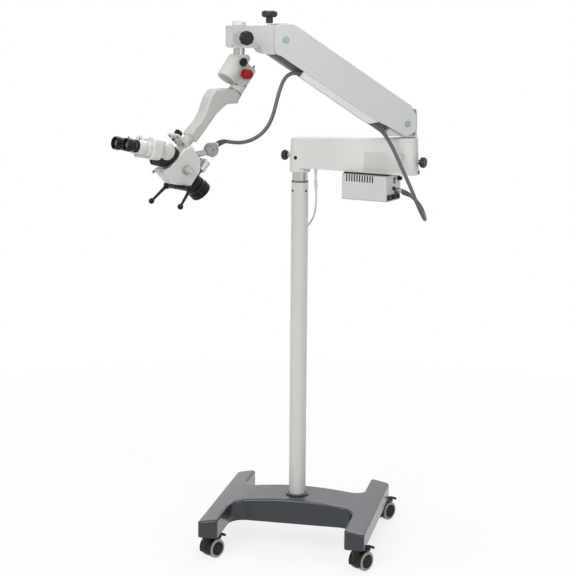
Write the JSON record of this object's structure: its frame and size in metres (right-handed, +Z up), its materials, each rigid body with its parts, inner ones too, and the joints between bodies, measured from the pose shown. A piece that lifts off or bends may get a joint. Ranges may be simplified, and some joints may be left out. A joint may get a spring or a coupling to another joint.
{
  "type": "surgical microscope",
  "caption": "Surgical microscope on a wheeled floor stand with balanced suspension arm, lamp box, tilting head and binocular tube",
  "frame": {"origin": "on the floor, on the axis of the column", "axes": "+Z up along the column; -Y is the front of the H-shaped base, +X runs along its cross bar to the right"},
  "size_m": [0.9457, 1.2292, 2.007],
  "materials": {
    "base_paint": "slate blue-grey gloss paint",
    "column_paint": "pale grey satin paint",
    "turned_steel": "turned and brushed",
    "fastener_steel": "blackened",
    "caster_plastic": "moulded",
    "caster_tyre": "grey rubber tread on a black hub",
    "arm_paint": "off-white satin paint",
    "beam_metal": "grey anodised",
    "box_paint": "off-white satin paint",
    "panel_paint": "blue-grey satin paint",
    "fittings_black": "moulded",
    "knob_black": "moulded",
    "signal_red": "moulded",
    "pin_blue": "blue-grey anodised",
    "channel_white": "folded sheet, painted",
    "head_metal": "clear anodised, knurled",
    "head_black": "black anodised",
    "lens_glass": "coated",
    "guide_sheath": "dark grey sheath",
    "cable_sheath": "light grey sheath"
  },
  "bodies": {
    "stand": {"base_casting": "base_paint", "column_tube": "column_paint", "column_fasteners": "fastener_steel", "column_spigot": "turned_steel"},
    "caster_fl": {"caster_fl_housing": "caster_plastic"},
    "caster_fl_roller": {"caster_fl_wheels": "caster_tyre"},
    "caster_fl_pedal": {"caster_fl_lever": "caster_plastic"},
    "caster_fr": {"caster_fr_housing": "caster_plastic"},
    "caster_fr_roller": {"caster_fr_wheels": "caster_tyre"},
    "caster_fr_pedal": {"caster_fr_lever": "caster_plastic"},
    "caster_rl": {"caster_rl_housing": "caster_plastic"},
    "caster_rl_roller": {"caster_rl_wheels": "caster_tyre"},
    "caster_rl_pedal": {"caster_rl_lever": "caster_plastic"},
    "caster_rr": {"caster_rr_housing": "caster_plastic"},
    "caster_rr_roller": {"caster_rr_wheels": "caster_tyre"},
    "caster_rr_pedal": {"caster_rr_lever": "caster_plastic"},
    "swing_arm": {"swing_arm_cover": "arm_paint", "swing_arm_beam": "beam_metal", "light_box_case": "box_paint", "light_box_panel": "panel_paint", "cable_fittings": "fittings_black", "lamp_module": "fittings_black", "light_guide_socket": "head_metal", "mains_cable": "cable_sheath", "light_guide_lower": "guide_sheath"},
    "swing_lock": {"swing_lock_knob": "knob_black"},
    "turret_lock": {"turret_lock_knob": "knob_black"},
    "power_rocker": {"power_switch": "signal_red"},
    "dimmer": {"dimmer_knob": "knob_black"},
    "turret": {"turret_bracket": "arm_paint"},
    "spring_arm": {"spring_arm_cover": "arm_paint", "cable_channel": "channel_white", "balance_spring": "fastener_steel", "pivot_pins": "pin_blue", "light_guide_upper": "guide_sheath"},
    "link": {"lower_link": "beam_metal"},
    "yoke": {"front_yoke": "arm_paint"},
    "yoke_lock": {"yoke_lock_knob": "knob_black"},
    "shaft_lock": {"shaft_lock_knob": "knob_black"},
    "coupling": {"swivel_shaft": "turned_steel", "coupling_body": "arm_paint"},
    "coupling_screw": {"coupling_knob": "signal_red"},
    "tension_screw": {"tension_knob": "knob_black"},
    "offset_arm": {"offset_arm": "arm_paint"},
    "head": {"head_bracket": "arm_paint", "microscope_body": "arm_paint", "head_light_socket": "head_metal", "focus_housing": "head_black", "tube_mount": "head_black", "handle_bar": "head_black"},
    "bracket_screw": {"bracket_knob": "knob_black"},
    "magnification": {"magnification_knob": "head_metal"},
    "objective": {"objective_unit": "head_black", "objective_lens": "lens_glass"},
    "focus": {"focus_knob": "head_metal"},
    "binocular": {"binocular_joint": "arm_paint"},
    "tube_left": {"prism_housing_left": "arm_paint", "eyepiece_left": "head_black"},
    "tube_right": {"prism_housing_right": "arm_paint", "eyepiece_right": "head_black"}
  },
  "joints": [
    {"name": "caster_fl_swivel", "type": "hinge", "parent": "stand", "child": "caster_fl", "pos_m": [-0.2815, -0.2795, 0.088], "axis": [0, 0, 1], "continuous": true},
    {"name": "caster_fl_roll", "type": "hinge", "parent": "caster_fl", "child": "caster_fl_roller", "pos_m": [-0.26634, -0.25525, 0.036], "axis": [-0.848, 0.5299, 0], "continuous": true},
    {"name": "caster_fl_brake", "type": "hinge", "parent": "caster_fl", "child": "caster_fl_pedal", "pos_m": [-0.25077, -0.23031, 0.07], "axis": [-0.848, 0.5299, 0], "range_deg": [0, 15]},
    {"name": "caster_fr_swivel", "type": "hinge", "parent": "stand", "child": "caster_fr", "pos_m": [0.2815, -0.2795, 0.088], "axis": [0, 0, 1], "continuous": true},
    {"name": "caster_fr_roll", "type": "hinge", "parent": "caster_fr", "child": "caster_fr_roller", "pos_m": [0.29666, -0.25525, 0.036], "axis": [-0.848, 0.5299, 0], "continuous": true},
    {"name": "caster_fr_brake", "type": "hinge", "parent": "caster_fr", "child": "caster_fr_pedal", "pos_m": [0.31223, -0.23031, 0.07], "axis": [-0.848, 0.5299, 0], "range_deg": [0, 15]},
    {"name": "caster_rl_swivel", "type": "hinge", "parent": "stand", "child": "caster_rl", "pos_m": [-0.2815, 0.2795, 0.088], "axis": [0, 0, 1], "continuous": true},
    {"name": "caster_rl_roll", "type": "hinge", "parent": "caster_rl", "child": "caster_rl_roller", "pos_m": [-0.26634, 0.30375, 0.036], "axis": [-0.848, 0.5299, 0], "continuous": true},
    {"name": "caster_rl_brake", "type": "hinge", "parent": "caster_rl", "child": "caster_rl_pedal", "pos_m": [-0.25077, 0.32869, 0.07], "axis": [-0.848, 0.5299, 0], "range_deg": [0, 15]},
    {"name": "caster_rr_swivel", "type": "hinge", "parent": "stand", "child": "caster_rr", "pos_m": [0.2815, 0.2795, 0.088], "axis": [0, 0, 1], "continuous": true},
    {"name": "caster_rr_roll", "type": "hinge", "parent": "caster_rr", "child": "caster_rr_roller", "pos_m": [0.29666, 0.30375, 0.036], "axis": [-0.848, 0.5299, 0], "continuous": true},
    {"name": "caster_rr_brake", "type": "hinge", "parent": "caster_rr", "child": "caster_rr_pedal", "pos_m": [0.31223, 0.32869, 0.07], "axis": [-0.848, 0.5299, 0], "range_deg": [0, 15]},
    {"name": "swing_arm_turn", "type": "hinge", "parent": "stand", "child": "swing_arm", "pos_m": [0, 0, 1.421], "axis": [0, 0, 1], "range_deg": [-150, 150], "deforming": ["mains_cable"]},
    {"name": "swing_lock_turn", "type": "hinge", "parent": "swing_arm", "child": "swing_lock", "pos_m": [-0.04303, 0.01316, 1.479], "axis": [-0.9563, 0.2924, 0], "continuous": true},
    {"name": "turret_lock_turn", "type": "hinge", "parent": "swing_arm", "child": "turret_lock", "pos_m": [0.45903, -0.14034, 1.484], "axis": [0.9563, -0.2924, 0], "continuous": true},
    {"name": "power_switch_rock", "type": "hinge", "parent": "swing_arm", "child": "power_rocker", "pos_m": [0.35875, -0.10236, 1.412], "axis": [0.2924, 0.9563, 0], "range_deg": [-8, 0]},
    {"name": "dimmer_turn", "type": "hinge", "parent": "swing_arm", "child": "dimmer", "pos_m": [0.37509, -0.07285, 1.418], "axis": [0.9563, -0.2924, 0], "range_deg": [0, 270]},
    {"name": "turret_turn", "type": "hinge", "parent": "swing_arm", "child": "turret", "pos_m": [0.41695, -0.12747, 1.573], "axis": [0, 0, 1], "range_deg": [-100, 130], "deforming": ["light_guide_lower"]},
    {"name": "spring_arm_lift", "type": "hinge", "parent": "turret", "child": "spring_arm", "pos_m": [0.39514, -0.14164, 1.6204], "axis": [-0.5446, 0.8387, 0], "range_deg": [-33, 12], "deforming": ["light_guide_lower", "light_guide_upper"]},
    {"name": "lower_link_turn", "type": "hinge", "parent": "turret", "child": "link", "pos_m": [0.34986, -0.17105, 1.5884], "axis": [-0.5446, 0.8387, 0], "range_deg": [-33, 12]},
    {"name": "yoke_level", "type": "hinge", "parent": "spring_arm", "child": "yoke", "pos_m": [0.0133, -0.38961, 1.912], "axis": [-0.5446, 0.8387, 0], "range_deg": [-12, 33], "deforming": ["light_guide_upper"]},
    {"name": "yoke_lock_turn", "type": "hinge", "parent": "yoke", "child": "yoke_lock", "pos_m": [-0.02252, -0.41286, 1.966], "axis": [0, 0, 1], "continuous": true},
    {"name": "shaft_lock_turn", "type": "hinge", "parent": "yoke", "child": "shaft_lock", "pos_m": [-0.08967, -0.50775, 1.919], "axis": [0.5446, -0.8387, 0], "continuous": true},
    {"name": "head_swivel", "type": "hinge", "parent": "yoke", "child": "coupling", "pos_m": [-0.11309, -0.47169, 1.884], "axis": [0, 0, 1], "range_deg": [-120, 120], "deforming": ["light_guide_upper"]},
    {"name": "coupling_knob_turn", "type": "hinge", "parent": "coupling", "child": "coupling_screw", "pos_m": [-0.08755, -0.48782, 1.7989], "axis": [0.7771, -0.6293, 0], "continuous": true},
    {"name": "tension_knob_turn", "type": "hinge", "parent": "coupling", "child": "tension_screw", "pos_m": [-0.09454, -0.50439, 1.8393], "axis": [0.7771, -0.6293, 0], "continuous": true},
    {"name": "offset_arm_turn", "type": "hinge", "parent": "coupling", "child": "offset_arm", "pos_m": [-0.12493, -0.48631, 1.73704], "axis": [-0.39, -0.4817, -0.7848], "range_deg": [-60, 60], "deforming": ["light_guide_upper"]},
    {"name": "head_roll", "type": "hinge", "parent": "offset_arm", "child": "head", "pos_m": [-0.24886, -0.63935, 1.58208], "axis": [-0.445, -0.5495, -0.7071], "range_deg": [-60, 60], "deforming": ["light_guide_upper"]},
    {"name": "bracket_knob_turn", "type": "hinge", "parent": "head", "child": "bracket_screw", "pos_m": [-0.28124, -0.65708, 1.59884], "axis": [0.445, 0.5495, 0.7071], "continuous": true},
    {"name": "magnification_turn", "type": "hinge", "parent": "head", "child": "magnification", "pos_m": [-0.26413, -0.6582, 1.4956], "axis": [0.7771, -0.6293, 0], "continuous": true},
    {"name": "objective_slide", "type": "slide", "parent": "head", "child": "objective", "axis": [0.445, 0.5495, -0.7071], "range_m": [-0.006, 0.006]},
    {"name": "focus_knob_turn", "type": "hinge", "parent": "head", "child": "focus", "pos_m": [-0.21393, -0.59622, 1.48627], "axis": [-0.445, -0.5495, -0.7071], "range_deg": [-180, 180]},
    {"name": "binocular_tilt", "type": "hinge", "parent": "head", "child": "binocular", "pos_m": [-0.30755, -0.71182, 1.5596], "axis": [-0.7771, 0.6293, 0], "range_deg": [-5, 45]},
    {"name": "tube_left_slide", "type": "slide", "parent": "binocular", "child": "tube_left", "axis": [0.7771, -0.6293, 0], "range_m": [-0.0045, 0.0045]},
    {"name": "tube_right_slide", "type": "slide", "parent": "binocular", "child": "tube_right", "axis": [0.7771, -0.6293, 0], "range_m": [-0.0045, 0.0045]}
  ],
  "couplings": [
    {"joint": "lower_link_turn", "follows": "spring_arm_lift", "ratio": 1},
    {"joint": "yoke_level", "follows": "spring_arm_lift", "ratio": -1},
    {"joint": "focus_knob_turn", "follows": "objective_slide", "rad_per_m": 523.6},
    {"joint": "tube_right_slide", "follows": "tube_left_slide", "ratio": -1}
  ]
}
